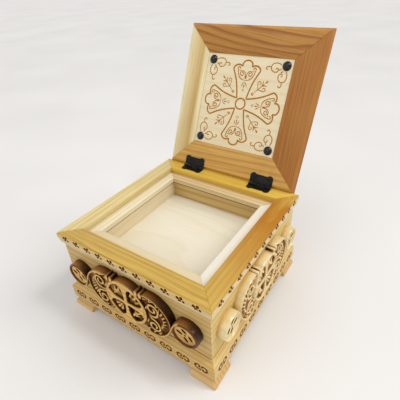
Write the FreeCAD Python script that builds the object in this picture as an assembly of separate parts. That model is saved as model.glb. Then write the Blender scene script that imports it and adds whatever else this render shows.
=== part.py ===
import FreeCAD, Part
import math
import os

# A square keepsake box: mitred walls between a moulded cornice and a plinth on corner feet,
# a pierced carving on each side, a lined tray inside, and a framed lid on two surface hinges.
# Millimetres, Z up, front at -Y, origin at the centre of the footprint. The lid stands open.

# Box shell
box_width = 200.0
foot_height = 9.0
wall_height = 97.8
wall_thickness = 16.0
wall_inset = 4.0

# Cornice moulding: a flat slab with a stepped edge above a cove
cornice_width = 21.0
cornice_slab = 7.2
bead_width = 1.5
bead_drop = 1.0
cove_height = 9.6
cove_lip = 1.0
cove_bow = 1.2

# Plinth moulding: rounded foot, upright band, weathered top
plinth_height = 29.0
plinth_depth = 6.2
plinth_toe = 2.2
plinth_round = 8.0
plinth_round_bow = 0.5
plinth_slope = 5.4
plinth_fillet_depth = 1.4
plinth_fillet_height = 1.8

# Corner feet
foot_length = 31.0
foot_spread = 3.4
foot_bevel = 4.6

# Tray: floor panel in a groove, lining boards on it and a ledge frame on those
tray_depth = 35.0
floor_thickness = 4.0
floor_groove = 5.0
floor_play = 0.3
lining_thickness = 13.0
ledge_thickness = 5.6
ledge_overhang = 1.5

# Side carvings
carving_thickness = 10.5
carving_margin = 2.0
lobe_drop = 1.0
lobe_offset = 30.0
end_disc_radius = 15.0
end_disc_offset = 72.5
link_height = 9.0
collar_width = 3.4
collar_height = 5.0
collar_offset = 17.0
collar_pitch = 5.2
cross_hole_radius = 8.4
cross_hole_offset = 9.9
lobe_hole_radius = 4.6
lobe_hole_offset = 41.0
lobe_hole_rise = 10.5

# Lid frame, inner panel and top board
lid_inset = 6.5
lid_rail_width = 36.0
lid_thickness = 17.0
lid_bevel_width = 4.0
lid_bevel_height = 5.0
lid_edge = 1.5
lid_hip_width = 15.0
lid_open_angle = 113.0
lid_stop_gap = 0.2
panel_thickness = 4.0
panel_recess = 0.8
panel_play = 0.2
panel_seat = 5.2
top_board_lap = 5.8
top_board_flange = 8.0
top_board_rise = 2.0
top_board_bevel = 3.0

# Dome screws at the panel's corners
dome_radius = 5.5
dome_height = 3.6
dome_shank_radius = 1.4
dome_shank_length = 12.0
dome_inset = 7.7
screw_clearance = 0.05

# Hinges
hinge_offset = 50.5
hinge_width = 30.4
leaf_thickness = 0.8
leaf_box_length = 10.0
leaf_lid_length = 14.5
leaf_lobe_radius = 4.2
leaf_dip = 1.6
knuckle_radius = 1.4
knuckle_gap = 0.3
knuckle_split = 0.2
hinge_pin_radius = 0.6
hinge_pin_clearance = 0.05
hinge_middle_share = 0.36
hinge_screw_radius = 0.9
hinge_screw_head_radius = 1.9
hinge_screw_head_height = 0.5
hinge_screw_length = 6.0
hinge_screw_offset = 8.6
hinge_screw_margin = 4.0

# Levels and half widths that follow from the driving sizes
box_half = box_width / 2
wall_outer = box_half - wall_inset
wall_inner = wall_outer - wall_thickness
wall_top = foot_height + wall_height
box_top = wall_top + cornice_slab
cornice_inner = box_half - cornice_width
bead_level = box_top - bead_drop
cove_bottom = wall_top - cove_height
plinth_top = foot_height + plinth_height
plinth_outer = wall_outer + plinth_depth
plinth_bottom_half = plinth_outer - plinth_toe
foot_outer = plinth_bottom_half + foot_spread
floor_top = box_top - tray_depth
floor_half = wall_inner + floor_groove - floor_play
lining_inner = wall_inner - lining_thickness
ledge_bottom = wall_top - ledge_thickness
carving_middle = (plinth_top + cove_bottom) / 2
medallion_radius = (cove_bottom - plinth_top) / 2 - carving_margin
lid_half = box_half - lid_inset
panel_half = lid_half - lid_rail_width
top_board_half = panel_half + top_board_lap

# Hinge axis: high enough for the knuckles to clear the cornice, and placed so that the open lid's
# bevelled back edge stops just short of the cornice's back edge
pin_level = box_top + knuckle_radius + knuckle_gap
lid_under = pin_level + knuckle_radius + knuckle_gap
open_sine = math.sin(math.radians(lid_open_angle))
open_cosine = math.cos(math.radians(lid_open_angle))
bevel_slope = lid_bevel_width / lid_bevel_height
edge_drop = bead_level - pin_level
edge_terms = open_sine * box_half + open_cosine * edge_drop - (lid_under - pin_level)
pin_terms = bevel_slope * edge_terms - open_cosine * box_half + open_sine * edge_drop
pin_lever = 1 + bevel_slope * open_sine - open_cosine
pin_setback = (lid_stop_gap + lid_half - lid_bevel_width + pin_terms) / pin_lever
pin_point = FreeCAD.Vector(0, pin_setback, pin_level)

X_AXIS = FreeCAD.Vector(1, 0, 0)
Y_AXIS = FreeCAD.Vector(0, 1, 0)
Z_AXIS = FreeCAD.Vector(0, 0, 1)
ORIGIN = FreeCAD.Vector(0, 0, 0)
SIDES = ("front", "right", "back", "left")
QUARTER_TURN = 90


def save(name, shape):
    """Write one piece, or one group of like pieces, under its node name."""
    shape.exportStep(os.path.join("parts", name + ".step"))


def section_point(point):
    """Point of a section drawn as (distance from the box's middle, level), on the front side."""
    return FreeCAD.Vector(0, -point[0], point[1])


def line(start, end):
    """Straight edge of a section."""
    return Part.LineSegment(section_point(start), section_point(end)).toShape()


def bowed(start, end, rise):
    """Arc of a section from start to end, its middle pushed to the left of the way by rise."""
    across = end[0] - start[0]
    up = end[1] - start[1]
    span = math.hypot(across, up)
    middle_out = (start[0] + end[0]) / 2 - rise * up / span
    middle_up = (start[1] + end[1]) / 2 + rise * across / span
    middle = section_point((middle_out, middle_up))
    return Part.Arc(section_point(start), middle, section_point(end)).toShape()


def outline(points):
    """Closed section of straight edges."""
    return [line(a, b) for a, b in zip(points, points[1:] + points[:1])]


def mitred(edges):
    """Bar along the front with the given section, cut at 45 degrees at both ends."""
    section = Part.Face(Part.Wire(Part.__sortEdges__(edges)))
    reach = -section.BoundBox.YMin
    section.translate(FreeCAD.Vector(-reach, 0, 0))
    bar = section.extrude(FreeCAD.Vector(reach + reach, 0, 0))
    far = reach + reach
    low = bar.BoundBox.ZMin - reach
    corners = [
        FreeCAD.Vector(0, 0, low),
        FreeCAD.Vector(-far, -far, low),
        FreeCAD.Vector(far, -far, low),
        FreeCAD.Vector(0, 0, low),
    ]
    sector = Part.Face(Part.makePolygon(corners)).extrude(FreeCAD.Vector(0, 0, bar.BoundBox.ZLength + far))
    return bar.common(sector)


def around(shape, name, back_holes=(), place=None):
    """Save a front piece and its three turned copies; the back one gets the holes."""
    for turn, side in enumerate(SIDES):
        copy = shape.copy()
        copy.rotate(ORIGIN, Z_AXIS, QUARTER_TURN * turn)
        if side == "back" and back_holes:
            copy = copy.cut(Part.makeCompound(back_holes))
        save(name + "_" + side, place(copy) if place else copy)


def slab(half, bottom, top):
    """Square board centred on the box."""
    return Part.makeBox(half + half, half + half, top - bottom, FreeCAD.Vector(-half, -half, bottom))


def opened(shape):
    """Swing a piece of the closed lid to where the open lid stands."""
    copy = shape.copy()
    copy.rotate(pin_point, X_AXIS, -lid_open_angle)
    return copy


def walls():
    """Four mitred wall boards, grooved for the floor panel."""
    groove = wall_inner + floor_groove
    floor_bottom = floor_top - floor_thickness
    section = [
        (wall_inner, foot_height),
        (wall_outer, foot_height),
        (wall_outer, wall_top),
        (wall_inner, wall_top),
        (wall_inner, floor_top),
        (groove, floor_top),
        (groove, floor_bottom),
        (wall_inner, floor_bottom),
    ]
    around(mitred(outline(section)), "wall")


def cornices():
    """Four mitred mouldings that cap the walls and hang over them outside."""
    lip = box_half - cove_lip
    section = [
        line((cornice_inner, wall_top), (wall_outer, wall_top)),
        line((wall_outer, wall_top), (wall_outer, cove_bottom)),
        bowed((wall_outer, cove_bottom), (lip, wall_top), -cove_bow),
        line((lip, wall_top), (box_half, wall_top)),
        line((box_half, wall_top), (box_half, bead_level)),
        line((box_half, bead_level), (box_half - bead_width, bead_level)),
        line((box_half - bead_width, bead_level), (box_half - bead_width, box_top)),
        line((box_half - bead_width, box_top), (cornice_inner, box_top)),
        line((cornice_inner, box_top), (cornice_inner, wall_top)),
    ]
    around(mitred(section), "cornice", box_screws(screw_clearance))


def plinths():
    """Four mitred mouldings round the foot of the walls."""
    band_bottom = foot_height + plinth_round
    fillet = wall_outer + plinth_fillet_depth
    fillet_bottom = plinth_top - plinth_fillet_height
    band_top = fillet_bottom - plinth_slope
    section = [
        line((wall_outer, foot_height), (plinth_bottom_half, foot_height)),
        bowed((plinth_bottom_half, foot_height), (plinth_outer, band_bottom), -plinth_round_bow),
        line((plinth_outer, band_bottom), (plinth_outer, band_top)),
        line((plinth_outer, band_top), (fillet, fillet_bottom)),
        line((fillet, fillet_bottom), (fillet, plinth_top)),
        line((fillet, plinth_top), (wall_outer, plinth_top)),
        line((wall_outer, plinth_top), (wall_outer, foot_height)),
    ]
    around(mitred(section), "plinth")


def feet():
    """Four square corner blocks, bevelled above on their two outer sides."""
    inner = foot_outer - foot_length
    section = [
        (inner, 0),
        (foot_outer, 0),
        (foot_outer, foot_height - foot_bevel),
        (plinth_bottom_half, foot_height),
        (inner, foot_height),
    ]
    face = Part.Face(Part.Wire(outline(section)))
    face.translate(FreeCAD.Vector(inner, 0, 0))
    along_front = face.extrude(FreeCAD.Vector(foot_length, 0, 0))
    along_side = along_front.mirror(ORIGIN, FreeCAD.Vector(1, 1, 0))
    block = along_front.common(along_side)
    for turn, corner in enumerate(("front_right", "back_right", "back_left", "front_left")):
        copy = block.copy()
        copy.rotate(ORIGIN, Z_AXIS, QUARTER_TURN * turn)
        save("foot_" + corner, copy)


def tray():
    """Floor panel, lining boards standing on it and the ledge frame on top of them."""
    save("floor_panel", slab(floor_half, floor_top - floor_thickness, floor_top))
    lining = [
        (lining_inner, floor_top),
        (wall_inner, floor_top),
        (wall_inner, ledge_bottom),
        (lining_inner, ledge_bottom),
    ]
    around(mitred(outline(lining)), "lining")
    ledge_inner = lining_inner - ledge_overhang
    ledge = [
        (ledge_inner, ledge_bottom),
        (wall_inner, ledge_bottom),
        (wall_inner, wall_top),
        (ledge_inner, wall_top),
    ]
    around(mitred(outline(ledge)), "ledge")


def carving_disc(x, z, radius):
    """Round part of the carving, as thick as the carving."""
    circle = Part.makeCircle(radius, FreeCAD.Vector(x, -wall_outer, z), -Y_AXIS)
    return Part.Face(Part.Wire(circle)).extrude(FreeCAD.Vector(0, -carving_thickness, 0))


def carving_block(x, z, width, height):
    """Upright block of the carving, centred on x and z."""
    corner = FreeCAD.Vector(x - width / 2, -wall_outer - carving_thickness, z - height / 2)
    return Part.makeBox(width, carving_thickness, height, corner)


def carvings():
    """Pierced carving on each side: medallion, two lobes, collars and end discs on links."""
    lobe_radius = medallion_radius - lobe_drop
    collar_level = carving_middle + math.sqrt(medallion_radius ** 2 - collar_offset ** 2)
    pieces = []
    holes = []
    for hand in (-1, 1):
        pieces.append(carving_disc(hand * lobe_offset, carving_middle, lobe_radius))
        pieces.append(carving_disc(hand * end_disc_offset, carving_middle, end_disc_radius))
        link_middle = hand * (lobe_offset + end_disc_offset) / 2
        pieces.append(carving_block(link_middle, carving_middle, end_disc_offset - lobe_offset, link_height))
        for step in (0, 1):
            collar_x = hand * (collar_offset + collar_pitch * step)
            pieces.append(carving_block(collar_x, collar_level, collar_width, collar_height))
        for rise in (-1, 1):
            hole_x = hand * cross_hole_offset
            holes.append(carving_disc(hole_x, carving_middle + rise * cross_hole_offset, cross_hole_radius))
            hole_z = carving_middle + rise * lobe_hole_rise
            holes.append(carving_disc(hand * lobe_hole_offset, hole_z, lobe_hole_radius))
    carving = carving_disc(0, carving_middle, medallion_radius).multiFuse(pieces).removeSplitter()
    around(carving.cut(Part.makeCompound(holes)), "carving")


def lid_frame():
    """Four mitred lid rails: bevelled below, hipped above, rebated for the panel and the top board."""
    rebate = panel_half + panel_play
    seat = rebate - panel_seat
    seat_under = lid_under + panel_recess + panel_thickness
    board_rebate = top_board_half + panel_play
    lid_top = lid_under + lid_thickness
    board_under = lid_top - top_board_flange
    hip_bottom = lid_under + lid_bevel_height + lid_edge
    section = [
        (rebate, lid_under),
        (lid_half - lid_bevel_width, lid_under),
        (lid_half, lid_under + lid_bevel_height),
        (lid_half, hip_bottom),
        (lid_half - lid_hip_width, lid_top),
        (board_rebate, lid_top),
        (board_rebate, board_under),
        (seat, board_under),
        (seat, seat_under),
        (rebate, seat_under),
    ]
    around(mitred(outline(section)), "lid_rail", lid_screws(screw_clearance), opened)


def dome_screws(clearance):
    """Four dome-headed screws under the panel's corners; with a clearance, the holes that they need."""
    level = lid_under + panel_recess
    place = panel_half - dome_inset
    ball_radius = (dome_radius ** 2 + dome_height ** 2) / (2 * dome_height)
    screws = []
    for x in (-place, place):
        for y in (-place, place):
            at = FreeCAD.Vector(x, y, level)
            radius = dome_shank_radius + clearance
            shank = Part.makeCylinder(radius, dome_shank_length + clearance, at, Z_AXIS)
            if clearance:
                screws.append(shank)
                continue
            ball = Part.makeSphere(ball_radius, FreeCAD.Vector(x, y, level - dome_height + ball_radius))
            below_at = FreeCAD.Vector(x - ball_radius, y - ball_radius, level - ball_radius)
            below = Part.makeBox(ball_radius + ball_radius, ball_radius + ball_radius, ball_radius, below_at)
            screws.append(ball.common(below).fuse(shank).removeSplitter())
    return screws


def lid_boards():
    """Engraved panel inside the lid, the board that closes its top, and the screws between them."""
    panel_level = lid_under + panel_recess
    panel_back = panel_level + panel_thickness
    lid_top = lid_under + lid_thickness
    flange_under = lid_top - top_board_flange
    holes = Part.makeCompound(dome_screws(screw_clearance))
    panel = slab(panel_half, panel_level, panel_back)
    save("lid_panel", opened(panel.cut(holes)))
    core_half = panel_half - panel_seat
    core = slab(core_half, panel_back, lid_top)
    flange = slab(top_board_half, flange_under, lid_top)
    crown_half = top_board_half - top_board_bevel
    crown_edges = [square_wire(top_board_half, lid_top), square_wire(crown_half, lid_top + top_board_rise)]
    crown = Part.makeLoft(crown_edges, True)
    board = core.multiFuse([flange, crown]).removeSplitter()
    save("lid_top_board", opened(board.cut(holes)))
    save("panel_screws", opened(Part.makeCompound(dome_screws(0))))


def square_wire(half, level):
    """Square outline centred on the box."""
    corners = [
        FreeCAD.Vector(-half, -half, level),
        FreeCAD.Vector(half, -half, level),
        FreeCAD.Vector(half, half, level),
        FreeCAD.Vector(-half, half, level),
        FreeCAD.Vector(-half, -half, level),
    ]
    return Part.makePolygon(corners)


def hinge_leaf(x, length, bottom, under_pin):
    """Flat leaf forward of the hinge axis with two rounded horns and a dip between them.

    under_pin lists the stretches along the axis, as (start, end), where the leaf reaches its knuckles.
    """
    half = hinge_width / 2
    clear = knuckle_radius + knuckle_gap
    front = pin_setback - length
    dip = front + leaf_dip
    shoulder = front + leaf_lobe_radius
    blank_at = FreeCAD.Vector(x - half, shoulder, bottom)
    blank = Part.makeBox(hinge_width, pin_setback - clear - shoulder, leaf_thickness, blank_at)
    horns = []
    for hand in (-1, 1):
        horn_at = FreeCAD.Vector(x + hand * (half - leaf_lobe_radius), shoulder, bottom)
        horns.append(Part.makeCylinder(leaf_lobe_radius, leaf_thickness, horn_at, Z_AXIS))
    bridge = half - leaf_lobe_radius
    bridge_at = FreeCAD.Vector(x - bridge, dip, bottom)
    horns.append(Part.makeBox(bridge + bridge, shoulder - dip, leaf_thickness, bridge_at))
    for start, end in under_pin:
        tongue_at = FreeCAD.Vector(x + start, pin_setback - clear, bottom)
        horns.append(Part.makeBox(end - start, clear, leaf_thickness, tongue_at))
    return blank.multiFuse(horns)


def knuckle(x, start, end, radius):
    """Length of barrel, or of pin, along the hinge axis."""
    at = FreeCAD.Vector(x + start, pin_setback, pin_level)
    return Part.makeCylinder(radius, end - start, at, X_AXIS)


def screw_set(length, top, down, clearance):
    """Two screws per leaf, head on the leaf and shank into the wood; with a clearance, their holes."""
    screws = []
    from_pin = length - hinge_screw_margin
    for x in (-hinge_offset, hinge_offset):
        for hand in (-1, 1):
            at = FreeCAD.Vector(x + hand * hinge_screw_offset, pin_setback - from_pin, top)
            way = Z_AXIS * down
            radius = hinge_screw_radius + clearance
            screw = Part.makeCylinder(radius, hinge_screw_length + clearance, at, way)
            if not clearance:
                head = Part.makeCylinder(hinge_screw_head_radius, hinge_screw_head_height, at, -way)
                screw = screw.fuse(head).removeSplitter()
            screws.append(screw)
    return screws


def box_screws(clearance):
    """Screws of the leaves on the cornice, driven down."""
    return screw_set(leaf_box_length, box_top + leaf_thickness, -1, clearance)


def lid_screws(clearance):
    """Screws of the leaves on the lid, driven up into the closed lid's back rail."""
    return screw_set(leaf_lid_length, lid_under - leaf_thickness, 1, clearance)


def hinges():
    """Two hinges: leaf on the cornice with outer knuckles, leaf on the lid with the middle knuckle, pin."""
    half = hinge_width / 2
    middle = half * hinge_middle_share
    split = middle + knuckle_split
    bore_radius = hinge_pin_radius + hinge_pin_clearance
    outer = [(-half, -split), (split, half)]
    inner = [(-middle, middle)]
    box_holes = Part.makeCompound(box_screws(screw_clearance))
    lid_holes = Part.makeCompound(lid_screws(screw_clearance))
    for x, side in ((-hinge_offset, "left"), (hinge_offset, "right")):
        bore = knuckle(x, -half, half, bore_radius)
        box_leaf = hinge_leaf(x, leaf_box_length, box_top, outer)
        box_leaf = box_leaf.multiFuse([knuckle(x, start, end, knuckle_radius) for start, end in outer])
        box_leaf = box_leaf.removeSplitter().cut(bore).cut(box_holes)
        save("hinge_leaf_box_" + side, box_leaf)
        lid_leaf = hinge_leaf(x, leaf_lid_length, lid_under - leaf_thickness, inner)
        lid_leaf = lid_leaf.multiFuse([knuckle(x, start, end, knuckle_radius) for start, end in inner])
        lid_leaf = lid_leaf.removeSplitter().cut(bore).cut(lid_holes)
        save("hinge_leaf_lid_" + side, opened(lid_leaf))
        save("hinge_pin_" + side, knuckle(x, -half, half, hinge_pin_radius))
    save("hinge_screws_box", Part.makeCompound(box_screws(0)))
    save("hinge_screws_lid", opened(Part.makeCompound(lid_screws(0))))


os.makedirs("parts", exist_ok=True)
walls()
cornices()
plinths()
feet()
tray()
carvings()
lid_frame()
lid_boards()
hinges()
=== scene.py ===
"""Looks of a carved square keepsake box with an open framed lid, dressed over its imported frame."""

import logging
import math
from collections.abc import Iterable, Sequence
from dataclasses import dataclass, replace
from enum import Enum, IntEnum

import bmesh
import bpy
from bmesh.types import BMesh
from bpy.types import Curve, Light, Material, Mesh, Node, Object
from bpy.types import NodeSocket as Socket
from bpy.types import NodeTree as Tree
from mathutils import Matrix, Vector


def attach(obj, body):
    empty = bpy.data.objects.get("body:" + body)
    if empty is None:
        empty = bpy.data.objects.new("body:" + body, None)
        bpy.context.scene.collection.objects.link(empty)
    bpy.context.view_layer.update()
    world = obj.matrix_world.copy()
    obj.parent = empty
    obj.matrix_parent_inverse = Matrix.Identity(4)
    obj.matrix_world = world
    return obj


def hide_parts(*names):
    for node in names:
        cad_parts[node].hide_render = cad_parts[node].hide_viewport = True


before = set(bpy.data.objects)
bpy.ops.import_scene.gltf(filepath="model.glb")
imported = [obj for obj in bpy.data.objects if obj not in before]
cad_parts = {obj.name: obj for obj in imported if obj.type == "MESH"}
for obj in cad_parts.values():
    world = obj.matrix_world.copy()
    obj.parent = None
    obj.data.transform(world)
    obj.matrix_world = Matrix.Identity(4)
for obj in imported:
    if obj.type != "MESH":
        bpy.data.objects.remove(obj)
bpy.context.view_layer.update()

MM = 0.001
MERGE_DISTANCE = 1e-7
WELD_DISTANCE = 1e-6
FLAT_DEGREES = 0.5
SHARP_DEGREES = 28
ARC_STEP_DEGREES = 30
CURVE_STEPS = 5
DOME_SPOKES = 40
PLATE_SPOKES = 72
# Padding round a stroke, as a share of its width, when strokes are sorted for cutting
CLEARANCE = 0.7
# A curve whose section stays upright on the drawing plane
UPRIGHT_SECTION = {
    "dimensions": "3D", "twist_mode": "Z_UP", "fill_mode": "FULL", "use_fill_caps": True,
    "resolution_u": CURVE_STEPS,
}
WALL_FACE = 96.0
# A saw wave of scale one repeats every 2 pi / 20
WAVE_PERIOD = 0.3142
Point = tuple[float, float]
Place = tuple[float, float, float]
Colour = tuple[float, float, float, float]
log = logging.getLogger("keepsake_box")


class Grain(Enum):
    """Which way a board's fibres run, as the turn that lays them along X, in degrees."""

    ALONG_X = 0
    ALONG_Y = -90


class Side(Enum):
    """The four sides of the box, in quarter turns from the front."""

    FRONT = 0
    RIGHT = 1
    BACK = 2
    LEFT = 3

    @property
    def word(self) -> str:
        """The side's name as the frame's nodes spell it."""
        return self.name.lower()

    @property
    def turn(self) -> Matrix:
        """The turn that brings a front piece to this side."""
        return Matrix.Rotation(math.radians(90 * self.value), 4, "Z")

    @property
    def grain(self) -> Grain:
        """The grain of a board that runs along this side."""
        return Grain.ALONG_X if self in (Side.FRONT, Side.BACK) else Grain.ALONG_Y


class Finish(IntEnum):
    """A carving's finishes, as its faces number them."""

    FACE = 0
    WALL = 1
    SLOT = 2
    RECESS = 3
    DISC_RIM = 4


@dataclass(frozen=True)
class LidSwing:
    """The hinge axis and the angle at which the lid stands, in mm and degrees."""

    pin_back: float = 93.747
    pin_level: float = 115.7
    degrees: float = 113.0

    @property
    def matrix(self) -> Matrix:
        """The turn that opens a piece drawn on the closed lid."""
        pin = Matrix.Translation(Vector((0, self.pin_back, self.pin_level)) * MM)
        return pin @ Matrix.Rotation(math.radians(-self.degrees), 4, "X") @ pin.inverted()


SWING = LidSwing()


def linear(code: str) -> Colour:
    """Turn an sRGB hex colour into linear RGBA.

    Args:
        code: six hex digits.

    Returns:
        Linear red, green, blue and an alpha of one.
    """
    parts = [int(code[i:i + 2], 16) / 255 for i in (0, 2, 4)]
    curve = [p / 12.92 if p <= 0.04045 else ((p + 0.055) / 1.055) ** 2.4 for p in parts]
    return curve[0], curve[1], curve[2], 1.0


def add_node(tree: Tree, kind: str, settings: dict | None = None) -> Node:
    """Add one shader node with its settings and links.

    Args:
        tree: the material's node tree.
        kind: the node's class name without its ShaderNode prefix.
        settings: a ramp's stops, or values and sockets to link, by property or by input name or number.

    Returns:
        The new node.
    """
    node = tree.nodes.new("ShaderNode" + kind)
    for key, value in (settings or {}).items():
        if isinstance(value, Socket):
            tree.links.new(value, node.inputs[key])
        elif key == "stops":
            elements = node.color_ramp.elements
            while len(elements) < len(value):
                elements.new(1.0)
            for element, (place, colour) in zip(elements, value):
                element.position = place
                element.color = linear(colour)
        elif isinstance(key, str) and hasattr(node, key):
            setattr(node, key, value)
        else:
            node.inputs[key].default_value = value
    return node


def new_material(name: str) -> tuple[Material, Tree, Socket]:
    """Start an empty material.

    Args:
        name: the finish's name.

    Returns:
        The material, its node tree and its object coordinates.
    """
    material = bpy.data.materials.new(name)
    material.use_nodes = True
    tree = material.node_tree
    tree.nodes.clear()
    return material, tree, add_node(tree, "TexCoord").outputs["Object"]


def close_material(tree: Tree, settings: dict) -> None:
    """End a material with a Principled shader of the given values and sockets."""
    shader = add_node(tree, "BsdfPrincipled", settings)
    add_node(tree, "OutputMaterial", {"Surface": shader.outputs["BSDF"]})


def worked(tree: Tree, operation: str, *values: Socket | float) -> Socket:
    """Work out one step of arithmetic."""
    return add_node(tree, "Math", {"operation": operation} | dict(enumerate(values))).outputs[0]


def coordinate(tree: Tree, vector: Socket, axis: str) -> Socket:
    """Take one coordinate of a vector."""
    return add_node(tree, "SeparateXYZ", {"Vector": vector}).outputs[axis]


def drawn_out(tree: Tree, where: Socket, scale: float) -> Socket:
    """Scale coordinates along X, which draws a pattern out along the grain."""
    return add_node(tree, "Mapping", {"Vector": where, "Scale": (scale, 1, 1)}).outputs["Vector"]


def fronted(tree: Tree, vector: Socket, side: Side) -> Socket:
    """Turn a vector from one side of the box round to the front."""
    turn = (0, 0, math.radians(-90 * side.value))
    return add_node(tree, "Mapping", {"Vector": vector, "Rotation": turn}).outputs["Vector"]


def noise(tree: Tree, where: Socket, size: float, detail: float, roughness: float = 0.5) -> Socket:
    """Noise from zero to one with spots of the given size, in mm."""
    settings = {"Vector": where, "Scale": 1 / (size * MM), "Detail": detail, "Roughness": roughness}
    return add_node(tree, "TexNoise", settings).outputs["Fac"]


def share_of(tree: Tree, value: Socket, span: Point, top: float = 1.0, smooth: bool = False) -> Socket:
    """Grade a value into a share.

    Args:
        tree: the material's node tree.
        value: the value.
        span: the values that give no share and the top share.
        top: the top share.
        smooth: whether it starts and ends softly.

    Returns:
        The share.
    """
    way = "SMOOTHSTEP" if smooth else "LINEAR"
    settings = {"Value": value, "From Min": span[0], "From Max": span[1], "To Max": top}
    return add_node(tree, "MapRange", settings | {"interpolation_type": way}).outputs["Result"]


def ramp(tree: Tree, value: Socket, stops: Sequence[tuple[float, str]]) -> Socket:
    """Colour a value by stops, each a place and an sRGB hex colour."""
    return add_node(tree, "ValToRGB", {"Fac": value, "stops": stops}).outputs["Color"]


def tinted(tree: Tree, colour: Socket | Colour, tint: str, share: Socket) -> Socket:
    """Mix a share of an sRGB hex tint over a colour."""
    return add_node(tree, "Mix", {"data_type": "RGBA", 0: share, 6: colour, 7: linear(tint)}).outputs[2]


def bumped(tree: Tree, height: Socket, strength: float, depth: float) -> Socket:
    """Roughen the surface by a height map, to a depth in mm."""
    settings = {"Height": height, "Strength": strength, "Distance": depth * MM}
    return add_node(tree, "Bump", settings).outputs["Normal"]


@dataclass(frozen=True)
class ScorchAndShade:
    """Darkening of a carving by depth: scorch and painted shade low down, clean on the crests.

    Depths are in mm out of the wall plane, for a carving on the given side.
    """

    side: Side
    clean: float
    scorched: float
    deepest: float
    colour: str
    deep_colour: str
    slope_shade_colour: str | None = None
    most: float = 0.97
    uneven: float = 0.002

    def scorched_and_shaded(self, tree: Tree, where: Socket, cloud: Socket, colour: Socket) -> Socket:
        """Darken the wood by its depth below the carving's face, with scorch and painted shade.

        Args:
            tree: the material's node tree.
            where: object coordinates.
            cloud: slow noise that makes the scorch and painted shade uneven.
            colour: the wood's own colour.

        Returns:
            The browned colour.
        """
        out = coordinate(tree, fronted(tree, where, self.side), "Y")
        shift = worked(tree, "MULTIPLY_ADD", cloud, 2 * self.uneven, -self.uneven)
        depth = worked(tree, "ADD", out, shift)
        for start, end, tint in (
            (self.clean, self.scorched, self.colour),
            (self.scorched, self.deepest, self.deep_colour),
        ):
            span = (-(WALL_FACE + start) * MM, -(WALL_FACE + end) * MM)
            colour = tinted(tree, colour, tint, share_of(tree, depth, span, self.most, smooth=True))
        if self.slope_shade_colour:
            # Painted shade: the more a wall faces across the side, towards its right, the darker it is
            normal = add_node(tree, "NewGeometry").outputs["Normal"]
            across = coordinate(tree, fronted(tree, normal, self.side), "X")
            share = share_of(tree, across, span=(-0.25, 0.8), top=0.95, smooth=True)
            colour = tinted(tree, colour, self.slope_shade_colour, share)
        return colour


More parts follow.
